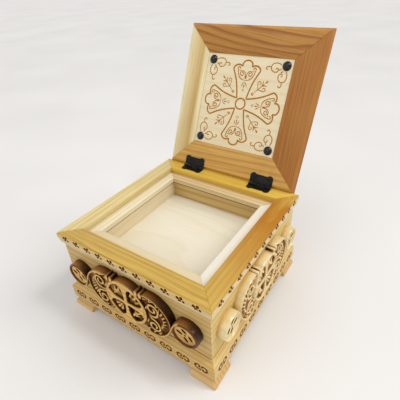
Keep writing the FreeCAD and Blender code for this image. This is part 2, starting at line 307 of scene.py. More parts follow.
@dataclass(frozen=True)
class Wood:
    """Planed and varnished board.

    Growth rings show as long lines along the grain, broad patches of resin and sun vary its tone,
    fine dark pores run with the fibres, and thin varnish gives it a low even sheen.
    """

    name: str
    early: str
    late: str
    patch: str
    grain: Grain = Grain.ALONG_X
    ring_mm: float = 6.0
    ring_share: float = 0.7
    wander: float = 5.0
    stretch: float = 0.07
    patch_mm: float = 45.0
    patch_share: float = 0.4
    patch_level: float = 0.42
    patch_fade: float = 0.26
    patch_from: Point | None = None
    streak_mm: float = 2.4
    streak_share: float = 0.3
    pore: str = "8A5A22"
    pore_mm: float = 0.9
    pore_share: float = 0.25
    roughness: float = 0.42
    gloss: float = 0.2
    coat: float = 0.1
    leaning: bool = False
    start_mm: Place = (31.0, 47.0, 22.0)
    slant: float = 0.0
    # Darkening by depth below a carving's crests: scorch and painted shade
    toast: ScorchAndShade | None = None
    # Painted shade under the ledge's overhang: its level, how deep it fades in, and its colour
    joint_level: float | None = None
    joint_depth: Point = (2.1, 1.6)
    joint_shade: str = "2E2210"
    sheen: Point = (-0.06, 0.12)

    def toned(self, early: str, late: str, patch: str, **changes: object) -> "Wood":
        """The same wood in other tones, with any other changes."""
        return replace(self, early=early, late=late, patch=patch, **changes)

    def material(self) -> Material:
        """Build the finish.

        Returns:
            The finished material.
        """
        material, tree, where = new_material(self.name)
        lean = math.radians(SWING.degrees) if self.leaning else 0.0
        turn = (lean, 0, math.radians(self.grain.value + self.slant))
        start = tuple(v * MM for v in self.start_mm)
        laying = {"Vector": where, "Rotation": turn, "Location": start}
        laid = add_node(tree, "Mapping", laying).outputs["Vector"]
        rings = add_node(tree, "TexWave", {
            "Vector": drawn_out(tree, laid, self.stretch), "wave_type": "RINGS", "rings_direction": "X",
            "wave_profile": "SAW", "Scale": WAVE_PERIOD / (self.ring_mm * MM), "Distortion": self.wander,
            "Detail": 2.0, "Detail Scale": 0.6, "Detail Roughness": 0.5,
        }).outputs["Fac"]
        line = ramp(tree, rings, [(0.0, "000000"), (0.45, "1A1A1A"), (0.88, "FFFFFF"), (1.0, "202020")])
        colour = tinted(tree, linear(self.early), self.late, worked(tree, "MULTIPLY", line, self.ring_share))
        cloud = noise(tree, drawn_out(tree, laid, scale=0.45), self.patch_mm, detail=3.0, roughness=0.55)
        span = (self.patch_level, self.patch_level + self.patch_fade)
        clouded = share_of(tree, cloud, span, self.patch_share)
        if self.patch_from:
            # The patches begin some way back along the board
            span = (self.patch_from[0] * MM, self.patch_from[1] * MM)
            clouded = worked(tree, "MULTIPLY", clouded, share_of(tree, coordinate(tree, where, "Y"), span))
        colour = tinted(tree, colour, self.patch, clouded)
        # Fibre streaks and pores are coarser than the real ones, so that they show
        fibres = noise(tree, drawn_out(tree, laid, scale=0.03), self.streak_mm, detail=4.0, roughness=0.65)
        colour = tinted(tree, colour, self.late, share_of(tree, fibres, (0.46, 0.72), self.streak_share))
        pores = noise(tree, drawn_out(tree, laid, scale=0.02), self.pore_mm, detail=3.0, roughness=0.6)
        colour = tinted(tree, colour, self.pore, share_of(tree, pores, (0.55, 0.75), self.pore_share))
        # Scorch and painted shade by depth
        if self.toast:
            colour = self.toast.scorched_and_shaded(tree, where, cloud, colour)
        if self.joint_level is not None:
            # Painted shade of the open joint, two mm deep under the ledge's overhang
            low, high = ((self.joint_level - depth) * MM for depth in self.joint_depth)
            share = share_of(tree, coordinate(tree, where, "Z"), (low, high), top=0.9)
            colour = tinted(tree, colour, self.joint_shade, share)
        least, most = (self.roughness + change for change in self.sheen)
        sheen = {"Value": pores, "To Min": least, "To Max": most}
        close_material(tree, {
            "Base Color": colour,
            "Roughness": add_node(tree, "MapRange", sheen).outputs["Result"],
            "Normal": bumped(tree, pores, strength=0.25, depth=0.15),
            "Coat Weight": self.coat,
            "Coat Roughness": 0.22,
            "Specular IOR Level": self.gloss,
        })
        return material


@dataclass(frozen=True)
class BurntCut:
    """Scorched bottom of a gouge or of an engraved line: dull brown, a little uneven."""

    name: str
    colour: str
    edge: str
    mottle_mm: float = 1.5

    def material(self) -> Material:
        """Build the finish.

        Returns:
            The finished material.
        """
        material, tree, where = new_material(self.name)
        mottle = noise(tree, where, self.mottle_mm, detail=2.0)
        colour = ramp(tree, mottle, [(0.35, self.colour), (0.7, self.edge)])
        close_material(tree, {"Base Color": colour, "Roughness": 0.7, "Specular IOR Level": 0.1})
        return material


@dataclass(frozen=True)
class BlackEnamel:
    """Stamped steel under glossy black enamel: almost black, with bright small highlights."""

    name: str
    roughness: float
    gloss: float
    coat: float
    colour: str = "0C0D0F"
    pale: str = "17181B"
    peel_mm: float = 0.8

    def material(self) -> Material:
        """Build the finish, with the fine orange peel of enamel.

        Returns:
            The finished material.
        """
        material, tree, where = new_material(self.name)
        peel = noise(tree, where, self.peel_mm, detail=2.0)
        close_material(tree, {
            "Base Color": ramp(tree, peel, [(0.3, self.colour), (0.8, self.pale)]),
            "Normal": bumped(tree, peel, strength=0.15, depth=0.1),
            "Roughness": self.roughness,
            "Specular IOR Level": self.gloss,
            "Coat Weight": self.coat,
            "Coat Roughness": 0.08,
        })
        return material


@dataclass(frozen=True)
class Stroke:
    """A line drawn in a plane, in mm: the path of a gouge or of a carved rib."""

    points: tuple[Point, ...]
    width: float = 1.0
    taper: float = 1.0
    closed: bool = False

    def mapped(self, across: Point, up: Point, origin: Point = (0.0, 0.0)) -> "Stroke":
        """Redraw the stroke on other axes.

        Args:
            across: where one mm across goes.
            up: where one mm up goes.
            origin: where the drawing's origin goes.

        Returns:
            The redrawn stroke.
        """
        (a, b), (c, d), (left, low) = across, up, origin
        moved = tuple((left + x * a + y * c, low + x * b + y * d) for x, y in self.points)
        return replace(self, points=moved)

    def turned(self, degrees: float, origin: Point = (0.0, 0.0)) -> "Stroke":
        """Turn the stroke about the drawing's origin, which then goes to the given place."""
        c, s = polar(1.0, degrees)
        return self.mapped((c, s), (-s, c), origin)

    def mirrored(self) -> "Stroke":
        """Mirror the stroke from right to left."""
        return self.mapped((-1, 0), (0, 1))

    def flipped(self) -> "Stroke":
        """Mirror the stroke from top to bottom."""
        return self.mapped((1, 0), (0, -1))

    def swapped(self) -> "Stroke":
        """Mirror the stroke about the rising diagonal."""
        return self.mapped((0, 1), (1, 0))


def polar(radius: float, degrees: float, centre: Point = (0.0, 0.0)) -> Point:
    """The point at a distance and an angle from a centre."""
    angle = math.radians(degrees)
    return centre[0] + radius * math.cos(angle), centre[1] + radius * math.sin(angle)


def arc(
    centre: Point, radius: float, start: float, sweep: float, end_radius: float | None = None,
) -> tuple[Point, ...]:
    """Points along an arc or, with an end radius, along a spiral.

    Args:
        centre: the arc's centre, in mm.
        radius: its radius at the start, in mm.
        start: angle of the first point, in degrees.
        sweep: how far it turns, in degrees, anticlockwise when positive.
        end_radius: the radius at the end, if it differs.

    Returns:
        The points, about thirty degrees apart.
    """
    steps = max(2, round(abs(sweep) / ARC_STEP_DEGREES))
    growth = 0.0 if end_radius is None else end_radius - radius
    shares = [step / steps for step in range(steps + 1)]
    return tuple(polar(radius + growth * share, start + sweep * share, centre) for share in shares)


def ring(centre: Point, radius: float, width: float) -> Stroke:
    """A closed circle as a stroke."""
    return Stroke(arc(centre, radius, 0, 360)[:-1], width, closed=True)


def drop(centre: Point, length: float, width: float, degrees: float) -> Stroke:
    """A short drop-shaped cut or leaf that swells in its middle."""
    points = tuple((share * length / 2, 0) for share in (-1.0, -0.6, 0.4, 1.0))
    return Stroke(points, width, 0.4).turned(degrees, centre)


def add_object(name: str, data: bpy.types.ID) -> Object:
    """Put a mesh, curve, lamp or camera in the scene.

    Args:
        name: the object's name.
        data: what it shows.

    Returns:
        The object.
    """
    made = bpy.data.objects.new(name, data)
    bpy.context.scene.collection.objects.link(made)
    return made


def shaped(draft: Object) -> Mesh:
    """The mesh of an object as its section or modifiers shape it."""
    return bpy.data.meshes.new_from_object(draft.evaluated_get(bpy.context.evaluated_depsgraph_get()))


def close_up(bm: BMesh) -> None:
    """Merge a mesh's doubled points and turn its faces outwards."""
    bmesh.ops.remove_doubles(bm, verts=bm.verts, dist=MERGE_DISTANCE)
    bmesh.ops.recalc_face_normals(bm, faces=bm.faces)


def mesh_of(bm: BMesh) -> Mesh:
    """Turn a bmesh into a mesh and free it.

    Args:
        bm: the bmesh.

    Returns:
        The mesh.
    """
    mesh = bpy.data.meshes.new("draft")
    bm.to_mesh(mesh)
    bm.free()
    return mesh


def round_edges(bm: BMesh, edges: Sequence[bmesh.types.BMEdge], radius: float, segments: int) -> None:
    """Round edges off, by a radius in mm."""
    bmesh.ops.bevel(
        bm, geom=edges, offset=radius * MM, offset_type="OFFSET", affect="EDGES", segments=segments,
        profile=0.5, clamp_overlap=True, material=-1,
    )


def add_spline(curve: Curve, stroke: Stroke, width: float) -> None:
    """Add a stroke to a curve as a smooth spline.

    Args:
        curve: the curve.
        stroke: the stroke.
        width: the radius of a full-width point, as the curve's section counts it.
    """
    last = len(stroke.points) - 1
    spline = curve.splines.new("BEZIER")
    spline.bezier_points.add(last)
    spline.use_cyclic_u = stroke.closed
    for i, (knot, (x, y)) in enumerate(zip(spline.bezier_points, stroke.points)):
        knot.co = (x * MM, y * MM, 0)
        knot.handle_left_type = knot.handle_right_type = "AUTO"
        end = i in (0, last) and not stroke.closed
        knot.radius = width * (stroke.taper if end else 1.0)


def swept(strokes: Iterable[Stroke], own_widths: bool, settings: dict) -> Mesh:
    """Sweep a section along strokes, or fill them.

    Args:
        strokes: the strokes.
        own_widths: whether each stroke scales the section by its width.
        settings: the curve's properties by name.

    Returns:
        One mesh, merged and closed.
    """
    curve = bpy.data.curves.new("draft", "CURVE")
    for key, value in settings.items():
        setattr(curve, key, value)
    for stroke in strokes:
        add_spline(curve, stroke, stroke.width if own_widths else 1.0)
    draft = add_object("draft", curve)
    mesh = shaped(draft)
    bpy.data.objects.remove(draft)
    bpy.data.curves.remove(curve)
    bm = bmesh.new()
    bm.from_mesh(mesh)
    close_up(bm)
    bm.to_mesh(mesh)
    bm.free()
    return mesh


def gouges(strokes: Iterable[Stroke], depth: float) -> Mesh:
    """Round cutters along strokes, centred on the drawing plane.

    Args:
        strokes: the strokes, each of its own width.
        depth: how deep a stroke one mm wide cuts, in mm.

    Returns:
        One mesh of closed tubes.
    """
    mesh = swept(strokes, True, UPRIGHT_SECTION | {"bevel_depth": MM / 2, "bevel_resolution": 1})
    mesh.transform(Matrix.Diagonal((1, 1, 2 * depth, 1)))
    return mesh


def ribs(strokes: Sequence[Stroke], height: float, crest: float = 0.7) -> Mesh:
    """Upright ribs along strokes of one width, standing on the drawing plane.

    Args:
        strokes: the strokes.
        height: the ribs' height, in mm.
        crest: how much of the height rounds over, in mm.

    Returns:
        One mesh of closed ribs.
    """
    half = strokes[0].width / 2
    outline = [(-half, 0.0), (half, 0.0)]
    for across, up in (polar(1.0, degrees) for degrees in range(0, 181, ARC_STEP_DEGREES)):
        outline.append((half * across, height - crest + crest * up))
    section = bpy.data.curves.new("section", "CURVE")
    section.dimensions = "2D"
    section.fill_mode = "NONE"
    spline = section.splines.new("POLY")
    spline.points.add(len(outline) - 1)
    spline.use_cyclic_u = True
    for point, (x, y) in zip(spline.points, outline):
        point.co = (x * MM, y * MM, 0, 1)
    holder = add_object("section", section)
    mesh = swept(strokes, False, UPRIGHT_SECTION | {"bevel_mode": "OBJECT", "bevel_object": holder})
    bpy.data.objects.remove(holder)
    bpy.data.curves.remove(section)
    return mesh


def cut_out(outline: tuple[Point, ...], thickness: float, edge: float) -> Mesh:
    """Flat plate sawn to a smooth outline, with eased edges.

    Args:
        outline: the outline, in mm.
        thickness: the plate's thickness, in mm; it stands on the drawing plane.
        edge: the radius of its edges, in mm.

    Returns:
        The plate's mesh.
    """
    mesh = swept([Stroke(outline, closed=True)], False, {
        "dimensions": "2D", "fill_mode": "BOTH", "resolution_u": CURVE_STEPS, "bevel_resolution": 1,
        "extrude": (thickness / 2 - edge) * MM, "bevel_depth": edge * MM, "offset": -edge * MM,
    })
    mesh.transform(Matrix.Translation((0, 0, thickness / 2 * MM)))
    return mesh


def eased(node: str, edge: float) -> BMesh:
    """Copy a CAD node with its sharp edges lightly rounded, as after sanding.

    Args:
        node: the node's name.
        edge: the rounding, in mm.

    Returns:
        The eased copy.
    """
    bm = bmesh.new()
    bm.from_mesh(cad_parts[node].data)
    bmesh.ops.remove_doubles(bm, verts=bm.verts, dist=WELD_DISTANCE)
    bmesh.ops.dissolve_limit(bm, angle_limit=math.radians(FLAT_DEGREES), verts=bm.verts, edges=bm.edges)
    sharp = [e for e in bm.edges if e.is_manifold and e.calc_face_angle() > math.radians(SHARP_DEGREES)]
    round_edges(bm, sharp, edge, segments=2)
    return bm


def layered(strokes: Iterable[Stroke]) -> list[list[Stroke]]:
    """Sort strokes into layers whose strokes keep clear of each other.

    Args:
        strokes: the strokes.

    Returns:
        The layers, each to be cut after the one before.
    """
    layers: list[tuple[list[Stroke], list[tuple[float, ...]]]] = []
    for stroke in strokes:
        xs, ys = zip(*stroke.points)
        pad = stroke.width * CLEARANCE
        box = (min(xs) - pad, min(ys) - pad, max(xs) + pad, max(ys) + pad)
        for members, boxes in layers:
            if all(box[0] > b[2] or box[2] < b[0] or box[1] > b[3] or box[3] < b[1] for b in boxes):
                members.append(stroke)
                boxes.append(box)
                break
        else:
            layers.append(([stroke], [box]))
    return [members for members, _ in layers]


def incised(base: Mesh, strokes: Iterable[Stroke], depth: float, place: Matrix, finish: Material) -> Mesh:
    """Cut strokes into a mesh with a round gouge.

    Args:
        base: the mesh to cut, which is used up.
        strokes: the strokes, on a drawing plane.
        depth: how deep a stroke one mm wide cuts, in mm.
        place: the drawing plane's place.
        finish: the material of the cuts.

    Returns:
        The cut mesh.
    """
    for layer in layered(strokes):
        cutter = gouges(layer, depth)
        cutter.transform(place)
        cutter.materials.append(finish)
        drafts = [add_object("draft", mesh) for mesh in (base, cutter)]
        cut = drafts[0].modifiers.new("cut", "BOOLEAN")
        cut.operation = "DIFFERENCE"
        cut.solver = "MANIFOLD"
        cut.material_mode = "TRANSFER"
        cut.object = drafts[1]
        mesh = shaped(drafts[0])
        for draft in drafts:
            bpy.data.objects.remove(draft)
        bpy.data.meshes.remove(base)
        bpy.data.meshes.remove(cutter)
        base = mesh
    return base


def joined(parts: Iterable[Mesh]) -> Mesh:
    """Gather meshes into one and delete them.

    Args:
        parts: the meshes, in place.

    Returns:
        The gathered mesh.
    """
    bm = bmesh.new()
    for mesh in parts:
        bm.from_mesh(mesh)
        bpy.data.meshes.remove(mesh)
    return mesh_of(bm)


def set_piece(name: str, mesh: Mesh, body: str, stands_for: str, crease: float = 32.0) -> None:
    """Put a finished mesh in the scene as a piece of the object.

    Args:
        name: the piece's name.
        mesh: its mesh, in place and with its materials.
        body: the CAD body that it rides on.
        stands_for: the CAD node that it replaces.
        crease: the angle between faces from which an edge stays sharp, in degrees.
    """
    if "custom_normal" in mesh.attributes:
        mesh.attributes.remove(mesh.attributes["custom_normal"])
    mesh.name = name
    mesh.shade_smooth()
    mesh.set_sharp_from_angle(angle=math.radians(crease))
    piece = add_object(name, mesh)
    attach(piece, body)
    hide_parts(stands_for)
    log.info("%s: %d faces on %s", name, len(mesh.polygons), body)


def eased_piece(name: str, node: str, edge: float, finish: Material, body: str) -> None:
    """Put an eased copy of a CAD node in the scene in its place.

    Args:
        name: the piece's name.
        node: the CAD node.
        edge: the rounding of its edges, in mm.
        finish: its material.
        body: the CAD body that it rides on.
    """
    mesh = mesh_of(eased(node, edge))
    mesh.materials.append(finish)
    set_piece(name, mesh, body, node)


def dress_node(node: str, finish: Material) -> None:
    """Give a CAD node that stays as it is its finish.

    Args:
        node: the CAD node.
        finish: its material.
    """
    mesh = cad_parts[node].data
    mesh.materials.clear()
    mesh.materials.append(finish)
    log.info("%s: kept from the frame", node)


def on_front(out: float, level: float) -> Matrix:
    """The front's drawing plane, at a distance out and a level in mm: up is Z, the third axis points out."""
    return Matrix(((1, 0, 0, 0), (0, 0, -1, -out * MM), (0, 1, 0, level * MM), (0, 0, 0, 1)))


@dataclass
class BoxBoards:
    """Plain boards of the box: walls, tray linings, ledge strips, floor panel and feet."""

    foot_edge: float = 0.7
    ledge_edge: float = 0.35
    joint_level: float = 101.2

    def woods(self, side: Side) -> tuple[Wood, Wood, Wood]:
        """The finishes of one side's boards.

        Args:
            side: the side.

        Returns:
            The woods of the wall, the lining and the ledge.
        """
        wall = Wood(
            "limewood_wall_" + side.word, "D2B274", "B08840", "C29A54", side.grain, ring_mm=7.5,
            ring_share=0.75, wander=7.0, start_mm=(11.0 + 37 * side.value, 52.0, 33.0),
        )
        lining = wall.toned(
            "D9C48E", "BE9C58", "CDB277", name="limewood_lining_" + side.word, wander=12.0,
            joint_level=self.joint_level,
        )
        ledge = Wood(
            "limewood_ledge_" + side.word, "ECE1C4", "D6C294", "E2D2AC", side.grain, ring_mm=5.0,
            pore="B99A66", pore_share=0.18, start_mm=(5.0 + 23 * side.value, 81.0, 37.0),
        )
        # Painted light: on the lit right side the wall and ledge are paler copies
        if side is Side.RIGHT:
            wall = wall.toned("E0C988", "CBA558", "D8B86E")
            ledge = ledge.toned("F5F0E5", "ECE3D0", "F0E8D9")
        # Painted shade: the back lining is a darker copy
        if side is Side.BACK:
            lining = lining.toned("CDB277", "A5803B", "BC9B59")
            ledge = ledge.toned("DCC598", "B8945A", "CDB07A")
        # Painted light: the left lining, lit across the tray, is a paler copy
        if side is Side.LEFT:
            lining = lining.toned("E8DCBE", "D5C193", "DFCDA6", ring_share=0.5)
        return wall, lining, ledge

    def build(self) -> None:
        """Dress the boards that stay and ease the ones that show their edges."""
        for side in Side:
            wall, lining, ledge = (wood.material() for wood in self.woods(side))
            dress_node("wall_" + side.word, wall)
            dress_node("lining_" + side.word, lining)
            node = "ledge_" + side.word
            eased_piece("ledge_strip_" + side.word, node, self.ledge_edge, ledge, "box")
        floor = Wood(
            "birch_ply_floor", "ECE5D2", "E0D4B6", "E4D9C0", ring_mm=17.0, ring_share=0.4, wander=24.0,
            stretch=0.3, pore="CDB98F", pore_share=0.12, roughness=0.5, coat=0.05,
        )
        dress_node("floor_panel", floor.material())
        foot = Wood("limewood_foot", "DCBA7C", "B58648", "C79B56", ring_mm=5.0, start_mm=(17.0, 29.0, 8.0))
        finish = foot.material()
        for corner in ("front_right", "back_right", "back_left", "front_left"):
            node = "foot_" + corner
            eased_piece("corner_foot_" + corner, node, self.foot_edge, finish, "box")


@dataclass
class Mouldings:
    """Cornice and plinth: mitred mouldings with a row of chip-cut motifs on each band."""

    edge: float = 0.4
    tight_edge: float = 0.1
    cornice_face: float = 100.0
    cornice_level: float = 109.9
    cornice_pitch: float = 17.0
    cornice_count: int = 11
    plinth_face: float = 102.2
    plinth_level: float = 23.9
    plinth_pitch: float = 21.7
    plinth_count: int = 9
    chip_depth: float = 0.42
    bead_step: float = 98.5
    bead_slack: float = 0.25
    bead_floor: float = 112.7
    bead_shift: float = 0.9
    band_facing: float = 0.9
    band_finish: int = 2

    def woods(self, side: Side) -> tuple[Wood, Wood, Wood]:
        """The finishes of one side's mouldings.

        Args:
            side: the side.

        Returns:
            The woods of the cornice, of its paler upright band and of the plinth.
        """
        cornice = Wood(
            "cornice_ash_" + side.word, "D4B25A", "996B26", "C0973C", side.grain, ring_mm=3.8, ring_share=0.5,
            wander=9.0, patch_share=0.35, streak_mm=1.8, streak_share=0.5, start_mm=(9.0, 143.0, -64.0),
            coat=0.2, roughness=0.36,
        )
        if side is Side.RIGHT:
            cornice = cornice.toned(
                "D4B056", "AE8030", "B8761F", patch_mm=30.0, patch_share=0.95, patch_level=0.22,
                patch_from=(-95.0, 30.0), streak_share=0.4, ring_mm=5.0,
            )
        # Painted light: the back cornice is a lighter copy, against the open lid's shadow
        if side is Side.BACK:
            cornice = cornice.toned("E0BC50", "C89A36", "D4AC44")
        if side is Side.LEFT:
            cornice = cornice.toned("E0CE96", "C2A352", "D3BC78", ring_mm=8.0)
        band = cornice.toned(
            "DEC794", "B8924E", "CEB276", name="cornice_band_" + side.word, ring_mm=5.0, patch_share=0.4,
        )
        plinth = Wood(
            "plinth_limewood_" + side.word, "D2B06C", "B5893F", "C59C52", side.grain, ring_mm=5.0,
            start_mm=(3.0 + 41 * side.value, 120.0, 14.0),
        )
        # Painted light: on the lit right side the band and plinth are paler copies
        if side is Side.RIGHT:
            band = band.toned("EAD8AC", "CDAE70", "DCC48C")
            plinth = plinth.toned("E0C487", "CDA456", "D2AC60")
        return cornice, band, plinth

    def pale_band(self, mesh: Mesh, side: Side) -> None:
        """Sort the cornice's upright faces under the bead into the band's finish.

        Args:
            mesh: the cornice, in place.
            side: its side of the box.
        """
        outwards = side.turn @ Vector((0, -1, 0))
        for face in mesh.polygons:
            upright = face.normal.dot(outwards) > self.band_facing and face.center.z < self.bead_floor * MM
            if upright and face.material_index == 0:
                face.material_index = self.band_finish

    def cornice_motif(self) -> list[Stroke]:
        """Four small drop cuts set as a leaning flower."""
        return [
            drop((-3.0, 1.1), 3.6, 3.5, -30),
            drop((0.9, 2.0), 3.4, 3.3, 10),
            drop((-0.7, -1.6), 3.6, 3.4, 60),
            drop((3.4, -0.9), 2.9, 2.5, -52),
        ]

    def plinth_motif(self) -> list[Stroke]:
        """Two facing curls with a bud between them."""
        curl = Stroke(arc((-3.0, 0.2), 3.9, 62, 236), 2.3, 0.6)
        return [
            curl, curl.mirrored(),
            drop((-2.2, 1.1), 4.0, 2.3, 62), drop((1.1, 2.2), 4.2, 2.3, 66),
            drop((-1.0, -3.0), 3.8, 2.2, 58), drop((2.3, -1.8), 3.8, 2.2, 66),
        ]

    def row(self, motif: Sequence[Stroke], pitch: float, count: int) -> list[Stroke]:
        """Repeat a motif along a band."""
        middle = (count - 1) / 2
        return [stroke.turned(0, ((i - middle) * pitch, 0)) for i in range(count) for stroke in motif]

    def narrow_bead(self, moulding: BMesh) -> None:
        """Draw the back bead's step outwards, so that the open lid's foot closes on it.

        Args:
            moulding: the back cornice, which is changed in place.
        """
        reach = 1 + self.bead_shift / self.bead_step
        for knot in moulding.verts:
            on_step = abs(knot.co.y - self.bead_step * MM) < self.bead_slack * MM
            if on_step and knot.co.z > self.bead_floor * MM:
                knot.co.x *= reach
                knot.co.y *= reach

    def build(self) -> None:
        """Ease the eight mouldings and cut their motifs."""
        chip = BurntCut("scorched_chip_cut", "4E280B", "743F14").material()
        curl = BurntCut("toasted_chip_cut", "6E3E12", "8E5822").material()
        chips = self.row(self.cornice_motif(), self.cornice_pitch, self.cornice_count)
        curls = self.row(self.plinth_motif(), self.plinth_pitch, self.plinth_count)
        for side in Side:
            cornice, band, plinth = (wood.material() for wood in self.woods(side))
            moulding = eased("cornice_" + side.word, self.tight_edge if side is Side.BACK else self.edge)
            if side is Side.BACK:
                self.narrow_bead(moulding)
            mesh = mesh_of(moulding)
            mesh.materials.append(cornice)
            place = side.turn @ on_front(self.cornice_face, self.cornice_level)
            mesh = incised(mesh, chips, self.chip_depth, place, curl if side is Side.RIGHT else chip)
            mesh.materials.append(band)
            self.pale_band(mesh, side)
            set_piece("cornice_moulding_" + side.word, mesh, "box", "cornice_" + side.word)
            mesh = mesh_of(eased("plinth_" + side.word, self.edge))
            mesh.materials.append(plinth)
            place = side.turn @ on_front(self.plinth_face, self.plinth_level)
            mesh = incised(mesh, curls, self.chip_depth, place, curl)
            set_piece("plinth_moulding_" + side.word, mesh, "box", "plinth_" + side.word)


@dataclass
class SideCarvings:
    """Pierced carvings: a cross medallion between two scrolled lobes and two rosette discs."""

    middle: float = 67.6
    medallion_radius: float = 27.5
    medallion_height: float = 9.7
    ring_width: float = 3.2
    ring_round: float = 1.8
    cross_edge: float = 0.45
    lobe_radius: float = 26.5
    lobe_offset: float = 30.0
    ground: float = 3.2
    ground_inset: float = 0.4
    lobe_ground: float = 6.9
    disc_radius: float = 15.0
    disc_offset: float = 72.5
    disc_ground: float = 8.2
    disc_edge: float = 3.0
    slot_depth: float = 0.8
    edge_height: float = 10.1
    edge_round: float = 2.2
    rim_width: float = 1.6
    rim_height: float = 9.0
    round_over: float = 3.0
    full_height: float = 10.5
    sprig_height: float = 9.9
    sprig_round: float = 1.3
    scroll_height: float = 9.3
    leaf_height: float = 9.5
    leaf_width: float = 2.4
    filler_lag: float = 0.3
    crest_slope: float = 0.5
    collar: Place = (3.4, 6.4, 9.9)
    collar_places: Point = (17.0, 22.2)
    collar_rise: float = 2.2
    collar_round: float = 0.9
    honey: tuple[Side, ...] = (Side.RIGHT, Side.BACK)

    def lobe_scroll(self) -> list[Stroke]:
        """The right lobe's volutes and stem, above and below its axis.

        Returns:
            The two scrolls.
        """
        stem = ((27.0, 1.5), (34.0, 1.9), (40.0, 4.4))
        upper = Stroke(stem + arc((35.6, 12.4), 7.4, -30, 470, 2.0), 2.4, 0.7)
        return [upper, upper.flipped()]

    def lobe_leaves(self) -> list[Stroke]:
        """Leaf fingers that fan out on the right lobe, and small fillers by the medallion.

        Returns:
            The leaves.
        """
        leaves = []
        for angle in range(-56, 57, 16):
            tip = polar(24.0, angle, (self.lobe_offset, 0))
            across, up = polar(1.0, angle)
            base = (39.0 + 4.0 * across, 6.0 * up)
            bend = ((tip[0] + base[0]) / 2 + 0.4, (tip[1] + base[1]) / 2 + 1.0)
            leaves.append(Stroke((base, bend, tip), self.leaf_width, 0.55))
        for angle in (72, 92, 112):
            tip = polar(24.4, angle, (self.lobe_offset, 0))
            base = polar(20.6, angle - math.degrees(self.filler_lag), (33, 0))
            bend = ((tip[0] + base[0]) / 2, (tip[1] + base[1]) / 2 + 0.5)
            leaf = Stroke((base, bend, tip), self.leaf_width, 0.55)
            leaves += [leaf, leaf.flipped()]
        bud = Stroke(((26.4, 6.0), (27.6, 9.6), (25.8, 14.0)), self.leaf_width, 0.5)
        return leaves + [bud, bud.flipped()]

    def cross(self) -> tuple[Point, ...]:
        """Outline of the medallion's cross with flared arms, each arm given as radii and angles."""
        arm = (
            (3.4, -45), (8.0, -16), (14.0, -10.5), (20.0, -13.0), (24.5, -20), (23.9, -7),
            (23.9, 7), (24.5, 20), (20.0, 13.0), (14.0, 10.5), (8.0, 16),
        )
        return tuple(polar(radius, angle + 90 * i) for i in range(4) for radius, angle in arm)

    def sprig(self) -> list[Stroke]:
        """Small three-leaved sprig in the medallion's upper right opening, given as radii and angles."""
        leaves = (
            ((23.0, 45), (18.0, 45), (8.5, 45)),
            ((14.0, 45), (16.5, 30), (21.5, 24)),
            ((14.0, 45), (16.5, 60), (21.5, 66)),
        )
        return [Stroke(tuple(polar(*knot) for knot in leaf), 3.6, 0.6) for leaf in leaves]

    def rosette(self) -> list[Stroke]:
        """Four slots of the disc's rosette and its heart."""
        return [
            drop((-6.2, 0.9), 7.2, 3.4, -20), drop((-0.8, 5.6), 6.8, 3.3, -34),
            drop((0.8, -5.6), 7.0, 3.3, -58), drop((6.2, -0.8), 6.6, 3.3, -54),
            drop((0.1, 0.0), 2.2, 2.2, -70),
        ]

    def ribbon(self) -> Stroke:
        """The band that sweeps from under the right lobe over to the right disc's crown."""
        points = (
            (22.0, -24.6), (30.0, -25.4), (38.6, -23.9), (47.0, -18.8), (53.4, -10.6), (57.6, -1.0),
            (61.2, 7.6), (65.4, 12.4), (70.4, 14.0),
        )
        return Stroke(points, 2.4, 0.5)

    def plate(self, across: float, radius: float, height: float) -> Mesh:
        """A plain round ground plate.

        Args:
            across: its place along the wall, in mm.
            radius: its radius, in mm.
            height: its height, in mm.

        Returns:
            The plate's mesh.
        """
        bm = bmesh.new()
        bmesh.ops.create_cone(
            bm, cap_ends=True, segments=PLATE_SPOKES, radius1=radius * MM, radius2=radius * MM,
            depth=height * MM, matrix=Matrix.Translation(Vector((across, 0, height / 2)) * MM),
        )
        return mesh_of(bm)

    def collar_block(self, across: float) -> Mesh:
        """One rounded block of the double collars between medallion and lobe.

        Args:
            across: its place along the wall, in mm.

        Returns:
            The block's mesh.
        """
        up = math.sqrt(self.medallion_radius ** 2 - self.collar_places[0] ** 2) + self.collar_rise
        place = Matrix.Translation(Vector((across, up, self.collar[2] / 2)) * MM)
        bm = bmesh.new()
        bmesh.ops.create_cube(bm, size=1, matrix=place @ Matrix.Diagonal((*(v * MM for v in self.collar), 1)))
        round_edges(bm, list(bm.edges), self.collar_round, segments=3)
        return mesh_of(bm)

